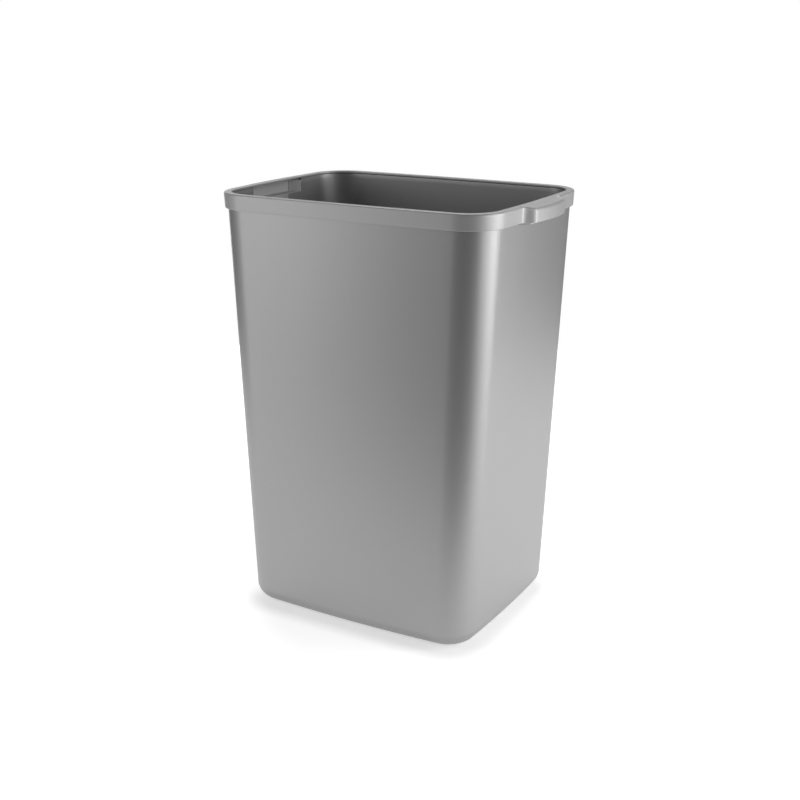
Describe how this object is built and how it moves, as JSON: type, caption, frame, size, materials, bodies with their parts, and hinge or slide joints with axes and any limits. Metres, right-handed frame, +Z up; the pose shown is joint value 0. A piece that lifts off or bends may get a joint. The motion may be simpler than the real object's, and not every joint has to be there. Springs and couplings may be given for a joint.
{
  "type": "rectangular wastebasket with lift-off rim",
  "caption": "Tall rectangular open wastebasket in silver-grey plastic: tapered shell on rubber feet, with a lift-off bag rim that bulges into a hollow grip at each short end.",
  "frame": {"origin": "on the floor, under the middle of the bin", "axes": "+Z up; X along the long side, grips at -X and +X; Y across, with the pictured long side facing -Y"},
  "size_m": [0.3804, 0.2626, 0.5],
  "materials": {
    "shell_plastic": "satin metallic silver-grey, fine moulded grain",
    "rim_plastic": "satin metallic silver-grey",
    "insert_plastic": "satin silver-grey",
    "foot_rubber": "matt black"
  },
  "bodies": {
    "bin": {"body_shell": "shell_plastic", "foot_front_left": "foot_rubber", "foot_front_right": "foot_rubber", "foot_back_left": "foot_rubber", "foot_back_right": "foot_rubber"},
    "rim": {"rim_frame": "rim_plastic", "grip_insert_left": "insert_plastic", "grip_insert_right": "insert_plastic"}
  },
  "joints": [
    {"name": "rim_lift", "type": "slide", "parent": "bin", "child": "rim", "axis": [0, 0, 1], "range_m": [0, 0.06]}
  ]
}
